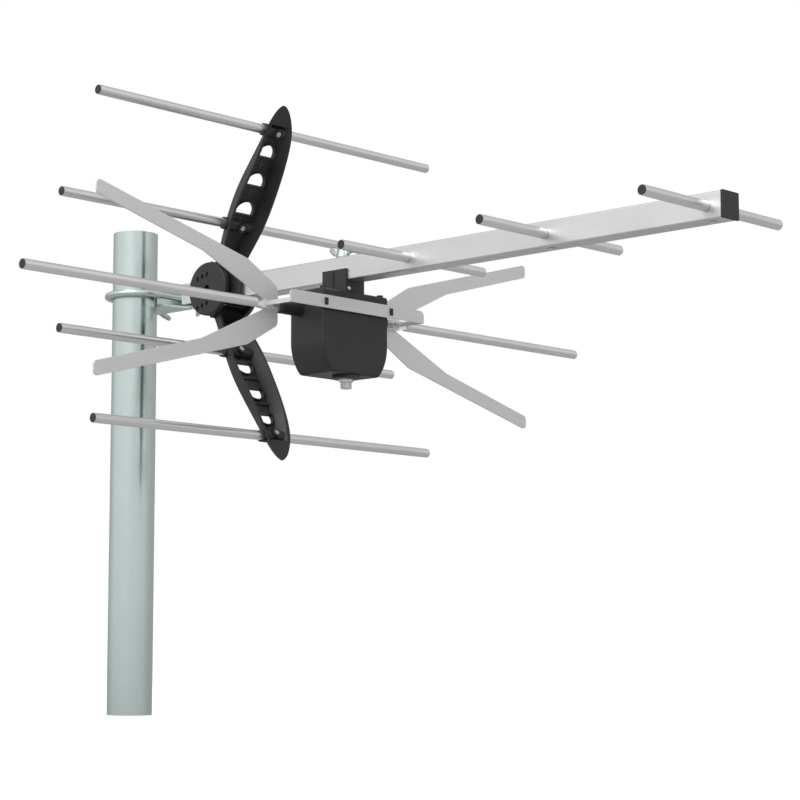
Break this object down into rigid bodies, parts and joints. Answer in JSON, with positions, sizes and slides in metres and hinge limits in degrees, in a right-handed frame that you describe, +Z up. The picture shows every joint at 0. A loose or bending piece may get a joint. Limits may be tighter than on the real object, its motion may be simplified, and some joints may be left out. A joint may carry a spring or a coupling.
{
  "type": "outdoor tv antenna",
  "caption": "Outdoor television antenna with a corner reflector, bow-tie dipole, long dipole rod and director rods on a square boom, clamped to a short mast tube.",
  "frame": {"origin": "centre of the mast tube's cut foot", "axes": "+X along the boom to its front, +Y to the left across the boom, +Z up the mast"},
  "size_m": [0.6952, 0.6406, 0.5183],
  "materials": {
    "galvanised_mast": "galvanised, softly mirror-like",
    "zinc_plated": "bright zinc plating",
    "zinc_cast": "cast zinc, satin",
    "dark_steel": "blackened steel, satin",
    "black_plastic": "fine grain",
    "plug_plastic": "smooth",
    "cap_plastic": "smooth",
    "rod_aluminium": "drawn tube, satin",
    "boom_aluminium": "extruded, satin",
    "sheet_aluminium": "rolled sheet, dull",
    "rivet_aluminium": "bright",
    "seal_rubber": "matt",
    "nickel_brass": "nickel plating",
    "white_insulator": "smooth",
    "bare_brass": "bright",
    "board_laminate": "glass laminate",
    "ferrite": "sintered"
  },
  "bodies": {
    "mast": {"mast_tube": "galvanised_mast"},
    "antenna": {"u_bolt": "zinc_plated", "clamp_jaw": "zinc_plated", "mast_bracket": "zinc_plated", "u_bolt_washers": "zinc_plated", "u_bolt_wing_nuts": "zinc_cast", "reflector_hub": "black_plastic", "hub_pin": "dark_steel", "hub_screw": "zinc_plated", "upper_reflector_arm": "black_plastic", "lower_reflector_arm": "black_plastic", "upper_inner_reflector_rod": "rod_aluminium", "lower_inner_reflector_rod": "rod_aluminium", "upper_outer_reflector_rod": "rod_aluminium", "lower_outer_reflector_rod": "rod_aluminium", "reflector_end_plugs": "plug_plastic", "reflector_screws": "zinc_plated", "boom": "boom_aluminium", "boom_front_cap": "cap_plastic", "director_rod_rear": "rod_aluminium", "director_rod_middle": "rod_aluminium", "director_rod_front": "rod_aluminium", "director_end_plugs": "plug_plastic", "director_rivets": "rivet_aluminium", "dipole_rod_left": "rod_aluminium", "dipole_rod_right": "rod_aluminium", "bowtie_left": "sheet_aluminium", "bowtie_right": "sheet_aluminium", "coupling_strip": "sheet_aluminium", "dipole_end_plugs": "plug_plastic", "dipole_screws": "zinc_plated", "dipole_nuts": "zinc_plated", "balun_box": "black_plastic", "balun_lid": "black_plastic", "lid_gasket": "seal_rubber", "lid_screws": "zinc_plated", "saddle_bolt": "zinc_plated", "saddle_washer": "zinc_plated", "saddle_wing_nut": "zinc_cast", "connector_collar": "black_plastic", "connector_nut": "nickel_brass", "f_connector": "nickel_brass", "connector_insulator": "white_insulator", "connector_contact": "bare_brass", "balun_board": "board_laminate", "balun_transformer": "ferrite", "terminal_left": "bare_brass", "terminal_right": "bare_brass"}
  },
  "joints": [
    {"name": "azimuth_swivel", "type": "hinge", "parent": "mast", "child": "antenna", "pos_m": [0, 0, 0.374], "axis": [0, 0, 1], "continuous": true}
  ]
}
